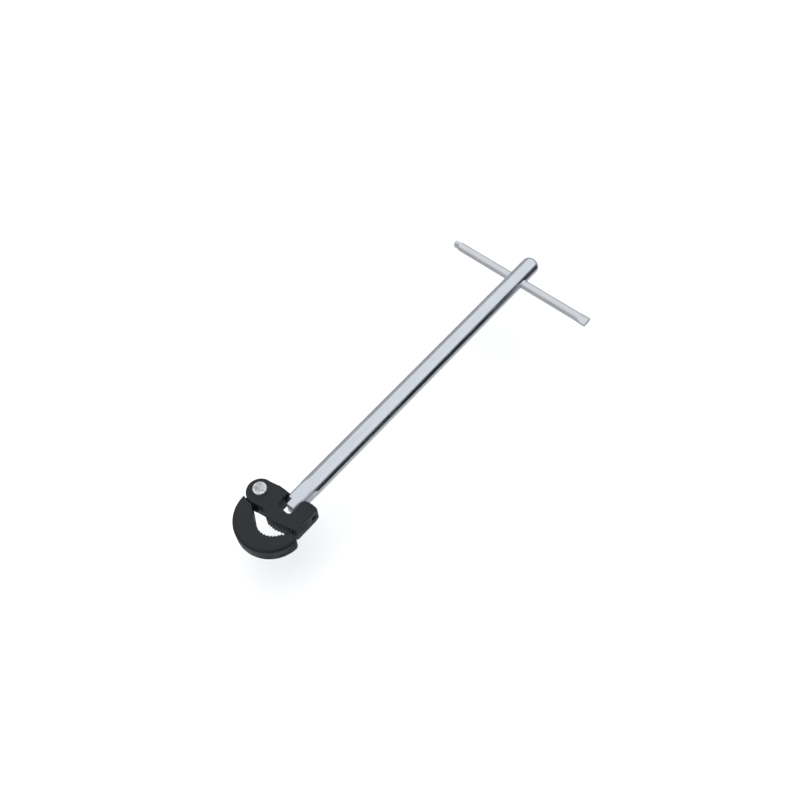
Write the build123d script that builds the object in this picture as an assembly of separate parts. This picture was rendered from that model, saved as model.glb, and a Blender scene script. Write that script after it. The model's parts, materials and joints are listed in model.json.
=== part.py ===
"""Basin wrench: a round shaft with a sliding T-bar and a tilting head whose sprung jaw hooks round a nut.

Millimetres. Each piece is drawn about the pivot pin: origin on the shaft's axis at the pin,
+X along the shaft to the T-bar, +Y to the jaw rivet, +Z up. place() then moves it to the part's
frame, whose origin is on the surface that the wrench lies on, below the middle of its box.
"""
from build123d import *
from math import cos, radians, sin
import os

os.makedirs("parts", exist_ok=True)

# shaft
SHAFT_D = 12.7
SHAFT_END_X = -5.1
SHAFT_TIP_X = 242.0
SHAFT_TIP_ROUND = 4.4
# milled flats: distance from the axis, X where the straight pass ends, radius of the cutter
RIGHT_FLAT = (5.2, 10.5, 6.0)
LEFT_FLAT = (4.8, 7.6, 14.0)
TOP_FLAT = (5.4, 9.0, 30.0)
TONGUE_LEFT_Y = 1.2
TONGUE_STEP_X = -0.6
SPRING_POCKET_R = 3.75
TONGUE_ROUND = 1.2

# T-bar
BAR_D = 6.35
BAR_X = 221.1
BAR_LEFT_Y = 53.3
BAR_RIGHT_Y = -58.6
BAR_CLEARANCE = 0.05
# pinched ends: width along X and Z of the flat, its length, and its length with the taper
LEFT_PINCH_SIZE = (4.0, 6.4)
RIGHT_PINCH_SIZE = (8.2, 4.2)
LEFT_PINCH_FLAT = 3.4
RIGHT_PINCH_FLAT = 3.8
LEFT_PINCH_LENGTH = 4.8
RIGHT_PINCH_LENGTH = 8.0
BAR_END_ROUND = 0.5

# pivot pin and its friction spring
PIN_D = 3.6
PIN_RUNNING_CLEARANCE = 0.04
PIN_RIGHT_Y = -13.8
PIN_LEFT_Y = 11.4
PIN_CHAMFER = 0.4
PIN_HOLE_END_Y = 11.8
PIVOT_WIRE_D = 1.0
PIVOT_COIL_R = 2.95
PIVOT_SPRING_GAP = 0.08
PIVOT_SPRING_PITCH = 1.16

# head base
BASE_HALF = 7.0
BASE_RIGHT_Y = -15.0
RIGHT_EAR_CORNERS = (2.8, 3.6)
RIGHT_EAR_CROWN = (5.3, -10.4)
RIGHT_EAR_CENTRE_X = -1.5
BASE_EDGE_ROUND = 0.7
LEFT_EAR_BACK_X = 2.4
LEFT_EAR_NOSE = 0.2
LEFT_EAR_TOP_X = 0.4
LEFT_EAR_Y = 10.8
NOTCH_BOTTOM_X = -9.3
NOTCH_RIGHT_Y = -5.3
NOTCH_LEFT_Y = 4.9
NOTCH_CORNER_R = 2.0
BOSS_CENTRE = (-9.4, 18.2)
BOSS_R = 8.3
BOSS_FROM = 205
BOSS_TO = 0
ANVIL_START = (-14.6, -14.2)
ANVIL_BEND = (-18.5, -0.3)
ANVIL_END = (-18.5, 4.9)
WAIST = (-15.9, 9.0)
TOOTH_PITCH = 2.0
TOOTH_DEPTH = 0.8

# rivet and the slot between the base's two cheeks
RIVET_CENTRE = (-8.8, 18.6)
RIVET_D = 5.0
RIVET_HEAD_D = 8.5
RIVET_HEAD_HEIGHT = 2.5
RIVET_HEAD_ROUND = 0.7
RIVET_TAIL_D = 7.6
RIVET_TAIL_DEPTH = 1.4
RIVET_CLEARANCE = 0.05
SLOT_HALF = 3.0
SLOT_R = 9.3

# jaw
JAW_HALF = 6.8
JAW_OUTER_CENTRE = (-17.0, 2.7)
JAW_OUTER_R = 21.6
JAW_BORE_CENTRE = (-16.1, 0.0)
JAW_BORE_R = 11.5
JAW_TEETH = 12
JAW_TEETH_FROM = 262.0
JAW_TEETH_TO = 140.0
JAW_TIP_START = 265.0
JAW_TIP_NOSE = (-15.7, -14.9)
JAW_HUB_R = 8.2
JAW_BODY_CLEAR_R = 9.6
JAW_NECK_FROM = 143.6
JAW_NECK_TO = 192.0
JAW_EDGE_ROUND = 2.8
JAW_TIP_EDGE_ROUND = 2.2
TANG_HALF = 2.7
HUB_FLOOR_Z = -0.4
HUB_POCKET_R = 6.3

# jaw spring, wound round the rivet under the hub
JAW_WIRE_D = 1.0
JAW_COIL_R = 4.1
JAW_COIL_BOTTOM_Z = -2.35
JAW_COIL_TURNS = 1.2
BASE_LEG_ANGLE = 268.0
BASE_LEG_R = 8.7
JAW_LEG_R = 5.7

MID_X = (SHAFT_TIP_X + JAW_OUTER_CENTRE[0] - JAW_OUTER_R) / 2
MID_Y = (BAR_LEFT_Y + BAR_RIGHT_Y) / 2


def place(piece):
    """Move a piece from the pin's frame to the part's frame."""
    return Pos(-MID_X, -MID_Y, BASE_HALF) * piece


def polar(centre, radius, angle):
    """A point at a radius and an angle in degrees from a centre."""
    return (centre[0] + radius * cos(radians(angle)), centre[1] + radius * sin(radians(angle)))


def slab(low, high):
    """A box between two opposite corners."""
    size = [b - a for a, b in zip(low, high)]
    middle = [(a + b) / 2 for a, b in zip(low, high)]
    return Pos(*middle) * Box(*size)


def disc(centre, radius, low_z, high_z):
    """An upright cylinder between two heights."""
    return Pos(centre[0], centre[1], (low_z + high_z) / 2) * Cylinder(radius, high_z - low_z)


def cross_cylinder(x, radius, low_y, high_y):
    """A cylinder along Y through the shaft's axis."""
    return Pos(x, (low_y + high_y) / 2, 0) * Rot(90, 0, 0) * Cylinder(radius, high_y - low_y)


def prism(outline, half_height):
    """A closed outline in the XY plane, made solid above and below it."""
    return extrude(make_face(outline), amount=half_height, both=True)


def flat_cut(height, end_x, cutter_r):
    """What milling a flat takes off the +Y side: a straight pass that ends in the cutter's arc."""
    straight = slab((SHAFT_END_X - 1, height, -SHAFT_D), (end_x, SHAFT_D, SHAFT_D))
    return straight + disc((end_x, height + cutter_r), cutter_r, -SHAFT_D, SHAFT_D)


def tongue_corner():
    """What rounding takes off the upper edge of the tongue's end."""
    centre_x = SHAFT_END_X + TONGUE_ROUND
    centre_z = TOP_FLAT[0] - TONGUE_ROUND
    corner = slab((SHAFT_END_X - 1, -SHAFT_D, centre_z), (centre_x, SHAFT_D, SHAFT_D))
    return corner - Pos(0, 0, centre_z) * cross_cylinder(centre_x, TONGUE_ROUND, -20, 20)


def make_shaft():
    """Round bar with a rounded tip, a flattened and stepped lower end, and two cross holes.

    A round pocket in the tongue's left side makes room for the pivot spring.
    """
    length = SHAFT_TIP_X - SHAFT_END_X
    shaft = Pos(SHAFT_END_X + length / 2, 0, 0) * Rot(0, 90, 0) * Cylinder(SHAFT_D / 2, length)
    tip_edge = shaft.edges().filter_by(GeomType.CIRCLE).sort_by(Axis.X)[-1]
    shaft = fillet(tip_edge, SHAFT_TIP_ROUND)
    for turn, flat in ((180, RIGHT_FLAT), (0, LEFT_FLAT), (90, TOP_FLAT), (-90, TOP_FLAT)):
        shaft -= Rot(turn, 0, 0) * flat_cut(*flat)
    shaft -= slab((SHAFT_END_X - 1, TONGUE_LEFT_Y, -SHAFT_D), (TONGUE_STEP_X, SHAFT_D, SHAFT_D))
    shaft -= cross_cylinder(0, SPRING_POCKET_R, TONGUE_LEFT_Y, SHAFT_D)
    for half_turn in (0, 180):
        shaft -= Rot(half_turn, 0, 0) * tongue_corner()
    shaft -= cross_cylinder(0, PIN_D / 2 + PIN_RUNNING_CLEARANCE, -SHAFT_D, SHAFT_D)
    shaft -= cross_cylinder(BAR_X, BAR_D / 2 + BAR_CLEARANCE, -SHAFT_D, SHAFT_D)
    return shaft


def pinched_end(end_y, length, flat_length, size):
    """One end of the T-bar, pressed from round to oval so that it can't slide out."""
    side = 1 if end_y > 0 else -1
    across = Plane(origin=(BAR_X, 0, 0), x_dir=(1, 0, 0), z_dir=(0, 1, 0))
    round_face = across.offset(end_y - side * length) * Circle(BAR_D / 2)
    oval_face = across.offset(end_y - side * flat_length) * Ellipse(size[0] / 2, size[1] / 2)
    taper = loft([round_face, oval_face])
    flat = extrude(oval_face, amount=flat_length, dir=(0, side, 0))
    rim = flat.edges().sort_by(Axis.Y)[-1 if side > 0 else 0]
    return taper + fillet(rim, BAR_END_ROUND)


def make_t_bar():
    """Sliding handle bar, round in the middle and pinched at both ends."""
    low_y = BAR_RIGHT_Y + RIGHT_PINCH_LENGTH
    high_y = BAR_LEFT_Y - LEFT_PINCH_LENGTH
    bar = cross_cylinder(BAR_X, BAR_D / 2, low_y, high_y)
    bar += pinched_end(BAR_LEFT_Y, LEFT_PINCH_LENGTH, LEFT_PINCH_FLAT, LEFT_PINCH_SIZE)
    bar += pinched_end(BAR_RIGHT_Y, RIGHT_PINCH_LENGTH, RIGHT_PINCH_FLAT, RIGHT_PINCH_SIZE)
    return bar


def make_pivot_pin():
    """Pin that the head tilts on, chamfered at both ends."""
    pin = cross_cylinder(0, PIN_D / 2, PIN_RIGHT_Y, PIN_LEFT_Y)
    return chamfer(pin.edges().filter_by(GeomType.CIRCLE), PIN_CHAMFER)


def coil(radius, wire_d, pitch, turns):
    """A helical wire about Z, starting on +X at height 0."""
    path = Helix(pitch=pitch, height=pitch * turns, radius=radius)
    section = Plane(origin=path @ 0, z_dir=path % 0) * Circle(wire_d / 2)
    return sweep(section, path=path)


def make_pivot_spring():
    """Short compression spring round the pin, between the tongue's step and the left ear."""
    room = NOTCH_LEFT_Y - TONGUE_LEFT_Y - 2 * PIVOT_SPRING_GAP - PIVOT_WIRE_D
    spring = coil(PIVOT_COIL_R, PIVOT_WIRE_D, PIVOT_SPRING_PITCH, room / PIVOT_SPRING_PITCH)
    first_turn_y = TONGUE_LEFT_Y + PIVOT_SPRING_GAP + PIVOT_WIRE_D / 2
    return Pos(0, first_turn_y, 0) * Rot(-90, 0, 0) * spring


def base_outline():
    """Plan of the head base, clockwise from the right ear's inner corner."""
    ear_inner = (RIGHT_EAR_CORNERS[0], NOTCH_RIGHT_Y)
    ear_outer = (RIGHT_EAR_CORNERS[1], BASE_RIGHT_Y)
    boss_start = polar(BOSS_CENTRE, BOSS_R, BOSS_FROM)
    boss_end = polar(BOSS_CENTRE, BOSS_R, BOSS_TO)
    return [
        ThreePointArc(ear_inner, RIGHT_EAR_CROWN, ear_outer),
        Polyline(
            ear_outer,
            (ANVIL_START[0] + 1.0, BASE_RIGHT_Y),
            ANVIL_START,
            ANVIL_BEND,
            ANVIL_END,
            WAIST,
            boss_start,
        ),
        ThreePointArc(boss_start, polar(BOSS_CENTRE, BOSS_R, 90), boss_end),
        Polyline(
            boss_end,
            (LEFT_EAR_TOP_X, LEFT_EAR_Y + 1.4),
            (LEFT_EAR_BACK_X, LEFT_EAR_Y),
            ear_inner,
        ),
    ]


def ear_profiles():
    """Side view of the two ears: the right one round the pin, the left one shallower."""
    nose_x = LEFT_EAR_BACK_X - LEFT_EAR_NOSE
    left_back = [
        ThreePointArc((nose_x, 1), (LEFT_EAR_BACK_X, 0), (nose_x, -1)),
        Polyline(
            (nose_x, -1),
            (LEFT_EAR_TOP_X, -BASE_HALF),
            (-60, -BASE_HALF),
            (-60, BASE_HALF),
            (LEFT_EAR_TOP_X, BASE_HALF),
            (nose_x, 1),
        ),
    ]
    left = Rot(90, 0, 0) * extrude(make_face(left_back), amount=-40)
    right = slab((-60, -40, -BASE_HALF), (RIGHT_EAR_CENTRE_X, 0, BASE_HALF))
    right += cross_cylinder(RIGHT_EAR_CENTRE_X, BASE_HALF, -40, 0)
    return left + right


def anvil_teeth():
    """V-shaped cuts across the anvil face, one row along each of its two straight stretches."""
    cuts = []
    for start, end in ((ANVIL_START, ANVIL_BEND), (ANVIL_BEND, ANVIL_END)):
        edge = Line(start, end)
        count = round(edge.length / TOOTH_PITCH)
        for tooth in range(count):
            point = edge @ ((tooth + 0.5) / count)
            side = TOOTH_DEPTH * 2 ** 0.5
            cutter = Rot(0, 0, (edge % 0).get_angle(Vector(0, 1, 0)) + 45) * Box(side, side, 40)
            cuts.append(Pos(point.X, point.Y, 0) * cutter)
    return cuts


def rivet_body(clearance):
    """Shank and flared tail of the jaw rivet."""
    shank = disc(RIVET_CENTRE, RIVET_D / 2 + clearance, -BASE_HALF, BASE_HALF)
    tail = Pos(*RIVET_CENTRE, -BASE_HALF + RIVET_TAIL_DEPTH / 2) * Cone(
        RIVET_TAIL_D / 2, RIVET_D / 2, RIVET_TAIL_DEPTH
    )
    return shank + tail


def make_head_base():
    """Forged base: two ears for the pin, a toothed anvil and two cheeks for the jaw's hub."""
    base = prism(base_outline(), BASE_HALF)
    rims = base.edges().filter_by_position(Axis.Z, BASE_HALF, BASE_HALF)
    rims += base.edges().filter_by_position(Axis.Z, -BASE_HALF, -BASE_HALF)
    base = fillet(rims, BASE_EDGE_ROUND)
    base &= ear_profiles()
    notch = slab((NOTCH_BOTTOM_X, NOTCH_RIGHT_Y, -20), (20, NOTCH_LEFT_Y, 20))
    base -= fillet(notch.edges().filter_by(Axis.Z).group_by(Axis.X)[0], NOTCH_CORNER_R)
    base -= cross_cylinder(0, PIN_D / 2, BASE_RIGHT_Y - 1, PIN_HOLE_END_Y)
    base -= disc(RIVET_CENTRE, SLOT_R, -SLOT_HALF, SLOT_HALF)
    base -= rivet_body(0)
    for cut in anvil_teeth():
        base -= cut
    return base


def make_jaw_rivet():
    """Rivet with a drum head on top and a tail set flush with the base's underside."""
    head = disc(RIVET_CENTRE, RIVET_HEAD_D / 2, BASE_HALF, BASE_HALF + RIVET_HEAD_HEIGHT)
    head = fillet(head.edges().group_by(Axis.Z)[-1], RIVET_HEAD_ROUND)
    return rivet_body(0) + head


def jaw_outline():
    """Plan of the jaw's thick hook, starting at the rivet side of the outer arc."""
    neck_out = polar(RIVET_CENTRE, JAW_BODY_CLEAR_R, JAW_NECK_FROM)
    neck_in = polar(RIVET_CENTRE, JAW_BODY_CLEAR_R, JAW_NECK_TO)
    neck_middle = polar(RIVET_CENTRE, JAW_BODY_CLEAR_R, (JAW_NECK_FROM + JAW_NECK_TO) / 2)
    tip_start = polar(JAW_OUTER_CENTRE, JAW_OUTER_R, JAW_TIP_START)
    step = (JAW_TEETH_TO - JAW_TEETH_FROM) / JAW_TEETH
    bore = [polar(JAW_BORE_CENTRE, JAW_BORE_R, JAW_TEETH_FROM)]
    for tooth in range(JAW_TEETH):
        angle = JAW_TEETH_FROM + tooth * step
        bore.append(polar(JAW_BORE_CENTRE, JAW_BORE_R - TOOTH_DEPTH, angle + step / 2))
        bore.append(polar(JAW_BORE_CENTRE, JAW_BORE_R, angle + step))
    return [
        ThreePointArc(neck_out, polar(JAW_OUTER_CENTRE, JAW_OUTER_R, 180), tip_start),
        ThreePointArc(tip_start, JAW_TIP_NOSE, bore[0]),
        Polyline(*bore, neck_in),
        ThreePointArc(neck_in, neck_middle, neck_out),
    ]


def tip_surround(tip):
    """What rounding takes off the rims of the jaw's tip, beyond the middle of the tip's arc."""
    centre = tip.arc_center
    drum = disc((centre.X, centre.Y), tip.radius, -JAW_HALF, JAW_HALF)
    drum = fillet(drum.edges().filter_by(GeomType.CIRCLE), JAW_TIP_EDGE_ROUND)
    beyond = slab((0, -tip.radius - 1, -JAW_HALF - 1), (10, tip.radius + 1, JAW_HALF + 1))
    facing = Vector(1, 0, 0).get_signed_angle((tip @ 0.5) - centre)
    return Pos(centre) * Rot(0, 0, facing) * beyond - drum


def make_jaw():
    """Hooked jaw: a thick toothed hook on a thin hub that turns between the base's cheeks."""
    outline = jaw_outline()
    hook = prism(outline, JAW_HALF)
    outer = hook.edges().filter_by(GeomType.CIRCLE).filter_by(
        lambda edge: abs(edge.radius - JAW_OUTER_R) < 0.5
    )
    hook = fillet(outer, JAW_EDGE_ROUND) - tip_surround(outline[1])
    neck = Polyline(
        polar(RIVET_CENTRE, HUB_POCKET_R, JAW_NECK_FROM),
        polar(RIVET_CENTRE, JAW_BODY_CLEAR_R + 2, JAW_NECK_FROM + 8),
        polar(RIVET_CENTRE, JAW_BODY_CLEAR_R + 2, JAW_NECK_TO - 5),
        polar(RIVET_CENTRE, HUB_POCKET_R, JAW_NECK_TO),
        close=True,
    )
    jaw = hook + prism(neck, TANG_HALF)
    jaw += disc(RIVET_CENTRE, JAW_HUB_R, HUB_FLOOR_Z, TANG_HALF)
    jaw -= disc(RIVET_CENTRE, HUB_POCKET_R, -TANG_HALF - 1, HUB_FLOOR_Z)
    jaw -= disc(RIVET_CENTRE, RIVET_D / 2 + RIVET_CLEARANCE, -20, 20)
    return jaw


def spring_leg(angle, far_r, z):
    """A straight leg of the jaw spring, from the coil out to a radius, with a round elbow."""
    middle = polar((0, 0), (JAW_COIL_R + far_r) / 2, angle)
    leg = Pos(*middle, z) * Rot(0, 0, angle) * Rot(0, 90, 0) * Cylinder(
        JAW_WIRE_D / 2, far_r - JAW_COIL_R
    )
    return leg + Pos(*polar((0, 0), JAW_COIL_R, angle), z) * Sphere(JAW_WIRE_D / 2)


def make_jaw_spring():
    """Torsion spring that closes the jaw: one leg on the base's web, the other on the jaw's neck."""
    rise = JAW_WIRE_D * 1.12
    spring = Rot(0, 0, BASE_LEG_ANGLE) * coil(JAW_COIL_R, JAW_WIRE_D, rise, JAW_COIL_TURNS)
    spring += spring_leg(BASE_LEG_ANGLE, BASE_LEG_R, 0)
    spring += spring_leg(BASE_LEG_ANGLE + 360 * JAW_COIL_TURNS, JAW_LEG_R, rise * JAW_COIL_TURNS)
    return Pos(*RIVET_CENTRE, JAW_COIL_BOTTOM_Z) * spring


PIECES = {
    "shaft": make_shaft,
    "t_bar": make_t_bar,
    "head_base": make_head_base,
    "jaw": make_jaw,
    "jaw_rivet": make_jaw_rivet,
    "jaw_spring": make_jaw_spring,
    "pivot_pin": make_pivot_pin,
    "pivot_spring": make_pivot_spring,
}

for name, make in PIECES.items():
    export_step(place(make()), f"parts/{name}.step")
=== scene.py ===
"""Looks for the basin wrench: materials, forged surfaces, camera, light and floor. Metres."""
import json
from math import cos, radians, sin

import bpy
from mathutils import Matrix, Vector


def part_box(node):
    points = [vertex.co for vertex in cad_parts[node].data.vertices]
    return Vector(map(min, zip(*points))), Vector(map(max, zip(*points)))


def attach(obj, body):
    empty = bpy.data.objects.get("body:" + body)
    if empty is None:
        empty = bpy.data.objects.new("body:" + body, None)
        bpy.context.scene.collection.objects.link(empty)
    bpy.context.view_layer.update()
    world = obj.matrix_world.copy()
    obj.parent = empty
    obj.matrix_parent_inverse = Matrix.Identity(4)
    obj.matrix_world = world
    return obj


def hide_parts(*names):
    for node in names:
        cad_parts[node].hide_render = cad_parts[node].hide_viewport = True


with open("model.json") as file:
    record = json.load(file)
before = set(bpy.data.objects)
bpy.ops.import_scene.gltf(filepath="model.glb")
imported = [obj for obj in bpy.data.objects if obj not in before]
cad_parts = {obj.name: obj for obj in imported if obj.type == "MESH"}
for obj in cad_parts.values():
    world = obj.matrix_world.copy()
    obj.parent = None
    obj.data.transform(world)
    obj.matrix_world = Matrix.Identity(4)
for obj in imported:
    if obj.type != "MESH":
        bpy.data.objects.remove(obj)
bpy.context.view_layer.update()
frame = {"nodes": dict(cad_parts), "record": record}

MM = 0.001

# places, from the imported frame
head_tilt, jaw_swing = frame["record"]["behaviour"]["joints"][:2]
PIN = Vector(head_tilt["pos_m"])
RIVET = Vector(jaw_swing["pos_m"])
RIVET_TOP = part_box("jaw_rivet")[1].z

# camera: where it stands from the pin, which way it looks, and its lens
CAMERA_FROM_PIN = Vector((-0.1117, -0.1751, 0.4269))
CAMERA_AZIMUTH = -49.77
CAMERA_ELEVATION = 57.79
CAMERA_ROLL = -0.35
CAMERA_LENS = 36.0

# floor, far enough down for the head to tilt
FLOOR_DROP = 0.055
FLOOR_HALF = 20.0

# surroundings: how bright they are at a few elevations, in degrees, and how bright they are
# at least, from nothing to SIDES between two values of the direction's Y
SURROUNDINGS = {-32: 0.60, -24: 0.03, 14: 0.03, 28: 0.98, 75: 0.92}
SIDES = 0.42
SIDES_FROM_Y = -0.80
SIDES_FULL_Y = -0.45

# soft box above the wrench
WASH_ELEVATION = 88
WASH_DISTANCE = 2.0
WASH_SIZE = 2.0
WASH_POWER = 26

# forged skins: size of a voxel, and the spread of the unevenness
SKIN_VOXEL = 0.22 * MM
SKIN_WAVE = 4 * MM

# the shaft's satin end runs to here from the pin, and fades out up to the second distance
SATIN_TO = 9 * MM
SATIN_FADED = 15 * MM

# distances from the middle of the rivet's head between which a painted highlight brightens it
# towards its edge
RIM_HIGHLIGHT_FROM = 2.4 * MM
RIM_HIGHLIGHT_FULL = 3.6 * MM


# ---------------------------------------------------------------- node helpers
def new_material(name, color, metallic, roughness):
    """A Principled material with a plain colour, metal value and roughness on its own sockets."""
    material = bpy.data.materials.new(name)
    material.use_nodes = True
    shader = material.node_tree.nodes["Principled BSDF"]
    shader.inputs["Base Color"].default_value = (*color, 1)
    shader.inputs["Metallic"].default_value = metallic
    shader.inputs["Roughness"].default_value = roughness
    return material


def add(material, kind, **properties):
    """Adds a node and sets its properties."""
    node = material.node_tree.nodes.new(kind)
    for key, value in properties.items():
        setattr(node, key, value)
    return node


def link(material, source, target):
    material.node_tree.links.new(source, target)


def shader_of(material):
    return material.node_tree.nodes["Principled BSDF"]


def object_coords(material, stretch=(1, 1, 1)):
    """The piece's own coordinates in metres, stretched along its axes."""
    coords = add(material, "ShaderNodeTexCoord")
    mapping = add(material, "ShaderNodeMapping")
    mapping.inputs["Scale"].default_value = stretch
    link(material, coords.outputs["Object"], mapping.inputs["Vector"])
    return mapping.outputs["Vector"]


def noise(material, vector, scale, detail, roughness=0.55):
    """Noise with a scale in features per metre."""
    node = add(material, "ShaderNodeTexNoise")
    node.inputs["Scale"].default_value = scale
    node.inputs["Detail"].default_value = detail
    node.inputs["Roughness"].default_value = roughness
    link(material, vector, node.inputs["Vector"])
    return node.outputs["Fac"]


def remap(material, value, from_low, from_high, to_low, to_high):
    """A value moved from one range to another and held inside it."""
    node = add(material, "ShaderNodeMapRange")
    for name, number in (
        ("From Min", from_low), ("From Max", from_high), ("To Min", to_low), ("To Max", to_high)
    ):
        node.inputs[name].default_value = number
    link(material, value, node.inputs["Value"])
    return node.outputs["Result"]


def math(material, operation, first, second):
    """A sum or product of two sockets or numbers."""
    node = add(material, "ShaderNodeMath", operation=operation)
    for socket, value in zip(node.inputs, (first, second)):
        if isinstance(value, (int, float)):
            socket.default_value = value
        else:
            link(material, value, socket)
    return node.outputs["Value"]


def mix_colors(material, factor, low, high):
    """A colour between two others."""
    node = add(material, "ShaderNodeMix", data_type="RGBA")
    link(material, factor, node.inputs["Factor"])
    for name, value in (("A", low), ("B", high)):
        socket = next(s for s in node.inputs if s.name == name and s.type == "RGBA")
        if isinstance(value, tuple):
            socket.default_value = (*value, 1)
        else:
            link(material, value, socket)
    return next(s for s in node.outputs if s.type == "RGBA")


def add_bump(material, height, strength, distance):
    bump = add(material, "ShaderNodeBump")
    bump.inputs["Strength"].default_value = strength
    bump.inputs["Distance"].default_value = distance
    link(material, height, bump.inputs["Height"])
    link(material, bump.outputs["Normal"], shader_of(material).inputs["Normal"])


def along(material, axis):
    """One of the piece's own coordinates, in metres."""
    split = add(material, "ShaderNodeSeparateXYZ")
    link(material, object_coords(material), split.inputs["Vector"])
    return split.outputs[axis]


# ---------------------------------------------------------------- materials
def plated_shaft():
    """Bright plate over drawn bar: cloudy patches, fine lines along it, satin milled flats."""
    material = new_material("bright_plate", (0.80, 0.81, 0.83), 1.0, 0.16)
    clouds = noise(material, object_coords(material, (0.35, 1, 1)), 150, 5)
    specks = noise(material, object_coords(material), 900, 3)
    drawn = noise(material, object_coords(material, (0.02, 1, 1)), 3500, 3)
    flats = remap(material, along(material, "X"), PIN.x + SATIN_TO, PIN.x + SATIN_FADED, 1, 0)
    cloudy = remap(material, clouds, 0.38, 0.66, 0.10, 0.27)
    speckled = math(material, "ADD", cloudy, remap(material, specks, 0.45, 0.75, 0.0, 0.10))
    rough = math(material, "ADD", speckled, math(material, "MULTIPLY", flats, 0.22))
    link(material, rough, shader_of(material).inputs["Roughness"])
    tint = mix_colors(material, clouds, (0.62, 0.65, 0.70), (0.80, 0.84, 0.90))
    link(material, tint, shader_of(material).inputs["Base Color"])
    height = math(material, "ADD", drawn, math(material, "MULTIPLY", specks, 0.8))
    add_bump(material, height, 0.30, 0.00010)
    return material


def plated_bar():
    """Satin zinc plate on the handle bar, mottled, with fine lines along it."""
    material = new_material("satin_zinc", (0.74, 0.75, 0.76), 1.0, 0.34)
    mottle = noise(material, object_coords(material, (1, 0.4, 1)), 260, 4)
    drawn = noise(material, object_coords(material, (1, 0.02, 1)), 3500, 3)
    rough = remap(material, mottle, 0.35, 0.7, 0.38, 0.58)
    link(material, rough, shader_of(material).inputs["Roughness"])
    tint = mix_colors(material, mottle, (0.60, 0.63, 0.66), (0.86, 0.88, 0.90))
    link(material, tint, shader_of(material).inputs["Base Color"])
    add_bump(material, drawn, 0.25, 0.00006)
    return material


def black_oxide():
    """Matte black oxide on forged steel: grain, faint blotches and bare wear on the edges."""
    material = new_material("black_oxide", (0.016, 0.017, 0.020), 0.0, 0.5)
    shader_of(material).inputs["Specular IOR Level"].default_value = 0.28
    blotches = noise(material, object_coords(material), 140, 5)
    grain = noise(material, object_coords(material), 2600, 3)
    edges = add(material, "ShaderNodeNewGeometry").outputs["Pointiness"]
    worn = remap(material, edges, 0.515, 0.60, 0, 1)
    chipped = math(material, "MULTIPLY", worn, remap(material, blotches, 0.40, 0.70, 0.1, 0.9))
    oxide = mix_colors(material, blotches, (0.006, 0.007, 0.009), (0.020, 0.023, 0.026))
    color = mix_colors(material, chipped, oxide, (0.10, 0.10, 0.105))
    link(material, color, shader_of(material).inputs["Base Color"])
    rough = math(
        material, "ADD",
        remap(material, blotches, 0.35, 0.65, 0.36, 0.64),
        remap(material, grain, 0.3, 0.7, -0.05, 0.08),
    )
    link(material, rough, shader_of(material).inputs["Roughness"])
    add_bump(material, grain, 0.35, 0.00008)
    return material


def zinc_rivet():
    """Zinc-plated rivet, mottled where its head was struck, with a painted highlight brightening
    it towards the edge of its head.
    """
    material = new_material("zinc_plate", (0.72, 0.73, 0.72), 1.0, 0.38)
    mottle = noise(material, object_coords(material), 520, 4)
    rough = remap(material, mottle, 0.3, 0.7, 0.28, 0.52)
    link(material, rough, shader_of(material).inputs["Roughness"])
    out = add(material, "ShaderNodeVectorMath", operation="DISTANCE")
    link(material, object_coords(material), out.inputs[0])
    out.inputs[1].default_value = (RIVET.x, RIVET.y, RIVET_TOP)
    # painted highlight: the base colour lightens towards the edge of the rivet's head, in place
    # of light caught on its rim
    rim_highlight = remap(material, out.outputs["Value"], RIM_HIGHLIGHT_FROM, RIM_HIGHLIGHT_FULL, 0, 0.55)
    bright = math(material, "ADD", rim_highlight, remap(material, mottle, 0.38, 0.62, 0.0, 0.65))
    tint = mix_colors(material, bright, (0.26, 0.28, 0.28), (0.90, 0.91, 0.91))
    link(material, tint, shader_of(material).inputs["Base Color"])
    add_bump(material, mottle, 1.0, 0.0006)
    return material


def spring_steel():
    """Oiled spring wire and pin: dark grey metal with a soft sheen."""
    material = new_material("oiled_steel", (0.16, 0.16, 0.17), 1.0, 0.38)
    film = noise(material, object_coords(material), 700, 3)
    rough = remap(material, film, 0.3, 0.7, 0.28, 0.48)
    link(material, rough, shader_of(material).inputs["Roughness"])
    tint = mix_colors(material, film, (0.10, 0.10, 0.11), (0.24, 0.24, 0.25))
    link(material, tint, shader_of(material).inputs["Base Color"])
    return material


MATERIALS = {
    "plated_shaft": plated_shaft(),
    "plated_bar": plated_bar(),
    "black_oxide": black_oxide(),
    "zinc": zinc_rivet(),
    "spring_steel": spring_steel(),
}


def dress(piece, slot):
    """Gives a piece one material in all its slots."""
    piece.data.materials.clear()
    piece.data.materials.append(MATERIALS[slot])


# ---------------------------------------------------------------- pieces
def forged_copy(node, body, name, smoothing, relief):
    """A forged piece over a CAD node: its shape with softened edges and a faint uneven skin."""
    piece = bpy.data.objects.new(name, frame["nodes"][node].data.copy())
    bpy.context.collection.objects.link(piece)
    remesh = piece.modifiers.new("skin", "REMESH")
    remesh.mode = "VOXEL"
    remesh.voxel_size = SKIN_VOXEL
    remesh.use_smooth_shade = True
    soften = piece.modifiers.new("soften", "SMOOTH")
    soften.factor = 0.5
    soften.iterations = smoothing
    scale = bpy.data.textures.new(name + "_scale", "CLOUDS")
    scale.noise_scale = SKIN_WAVE
    scale.noise_depth = 3
    uneven = piece.modifiers.new("uneven", "DISPLACE")
    uneven.texture = scale
    uneven.strength = relief
    uneven.mid_level = 0.5
    graph = bpy.context.evaluated_depsgraph_get()
    solid = bpy.data.meshes.new_from_object(piece.evaluated_get(graph))
    piece.modifiers.clear()
    piece.data = solid
    piece.data.name = name
    dress(piece, "black_oxide")
    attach(piece, body)
    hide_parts(node)
    return piece


forged_copy("jaw", "jaw", "jaw_forging", 7, 0.14 * MM)
forged_copy("head_base", "head", "base_forging", 5, 0.12 * MM)

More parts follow.
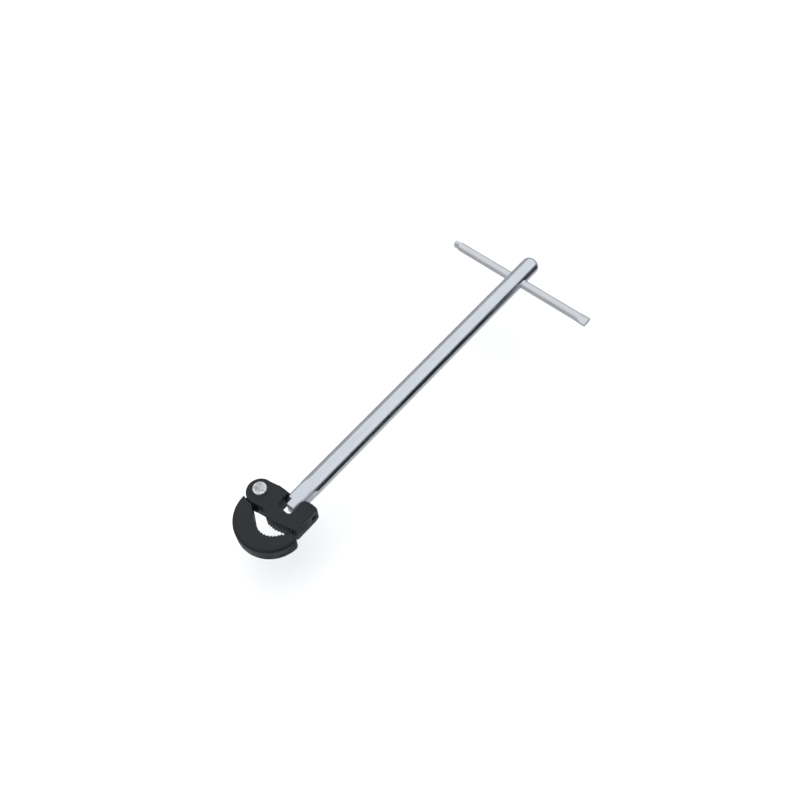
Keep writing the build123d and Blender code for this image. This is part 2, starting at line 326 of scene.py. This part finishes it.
dress(frame["nodes"]["shaft"], "plated_shaft")
dress(frame["nodes"]["t_bar"], "plated_bar")
dress(frame["nodes"]["jaw_rivet"], "zinc")
for steel in ("jaw_spring", "pivot_spring", "pivot_pin"):
    dress(frame["nodes"][steel], "spring_steel")


# ---------------------------------------------------------------- stage, light and camera
def make_floor():
    """A wide white floor below the wrench, low enough for the head to tilt down."""
    mesh = bpy.data.meshes.new("floor")
    half = FLOOR_HALF
    corners = [(-half, -half, 0), (half, -half, 0), (half, half, 0), (-half, half, 0)]
    mesh.from_pydata(corners, [], [(0, 1, 2, 3)])
    floor = bpy.data.objects.new("floor", mesh)
    floor.location = (0, 0, -FLOOR_DROP)
    floor.visible_glossy = False
    floor.visible_diffuse = False
    bpy.context.collection.objects.link(floor)
    material = new_material("white_floor", (0.92, 0.92, 0.92), 0, 0.9)
    shader_of(material).inputs["Specular IOR Level"].default_value = 0.1
    mesh.materials.append(material)


def make_wash():
    """A soft box above that lights the wrench but isn't mirrored in the plated bars."""
    data = bpy.data.lights.new("wash", "AREA")
    data.shape = "SQUARE"
    data.size = WASH_SIZE
    data.energy = WASH_POWER
    light = bpy.data.objects.new("wash", data)
    light.visible_glossy = False
    elevation = radians(WASH_ELEVATION)
    towards = Vector((0, -cos(elevation), sin(elevation)))
    light.location = towards * WASH_DISTANCE
    light.rotation_mode = "QUATERNION"
    light.rotation_quaternion = (-towards).to_track_quat("-Z", "Y")
    bpy.context.collection.objects.link(light)


def make_world():
    """A bright dome and ground, with a dark band low on the -Y side that the rod mirrors."""
    world = bpy.data.worlds.new("studio")
    world.use_nodes = True
    bpy.context.scene.world = world
    tree = world.node_tree
    background = tree.nodes["Background"]
    coords = tree.nodes.new("ShaderNodeTexCoord")
    split = tree.nodes.new("ShaderNodeSeparateXYZ")
    ramp = tree.nodes.new("ShaderNodeValToRGB")
    stops = ramp.color_ramp.elements
    while len(stops) < len(SURROUNDINGS):
        stops.new(0.5)
    for stop, (elevation, grey) in zip(stops, SURROUNDINGS.items()):
        stop.position = (1 + sin(radians(elevation))) / 2
        stop.color = (0.96 * grey, 0.98 * grey, grey, 1)
    height = tree.nodes.new("ShaderNodeMapRange")
    height.inputs["From Min"].default_value = -1
    tree.links.new(coords.outputs["Generated"], split.inputs["Vector"])
    tree.links.new(split.outputs["Z"], height.inputs["Value"])
    tree.links.new(height.outputs["Result"], ramp.inputs["Fac"])
    lit = tree.nodes.new("ShaderNodeMapRange")
    for name, number in (
        ("From Min", SIDES_FROM_Y), ("From Max", SIDES_FULL_Y), ("To Min", 0), ("To Max", SIDES)
    ):
        lit.inputs[name].default_value = number
    tree.links.new(split.outputs["Y"], lit.inputs["Value"])
    brighter = tree.nodes.new("ShaderNodeMix")
    brighter.data_type = "RGBA"
    brighter.blend_type = "LIGHTEN"
    brighter.inputs["Factor"].default_value = 1.0
    colors = [socket for socket in brighter.inputs if socket.type == "RGBA"]
    tree.links.new(ramp.outputs["Color"], colors[0])
    tree.links.new(lit.outputs["Result"], colors[1])
    mixed = next(socket for socket in brighter.outputs if socket.type == "RGBA")
    tree.links.new(mixed, background.inputs["Color"])


def make_camera():
    """The camera, set by where it stands from the pin and which way it looks."""
    data = bpy.data.cameras.new("camera")
    data.lens = CAMERA_LENS
    camera = bpy.data.objects.new("camera", data)
    a, e = radians(CAMERA_AZIMUTH), radians(CAMERA_ELEVATION)
    back = Vector((sin(a) * cos(e), -cos(a) * cos(e), sin(e)))
    right = Vector((cos(a), sin(a), 0))
    up = back.cross(right)
    turn = Matrix((right, up, back)).transposed() @ Matrix.Rotation(radians(CAMERA_ROLL), 3, "Z")
    camera.matrix_world = Matrix.Translation(PIN + CAMERA_FROM_PIN) @ turn.to_4x4()
    data.clip_start = 0.01
    bpy.context.collection.objects.link(camera)
    bpy.context.scene.camera = camera


make_floor()
make_wash()
make_world()
make_camera()
bpy.context.scene.view_settings.view_transform = "Standard"
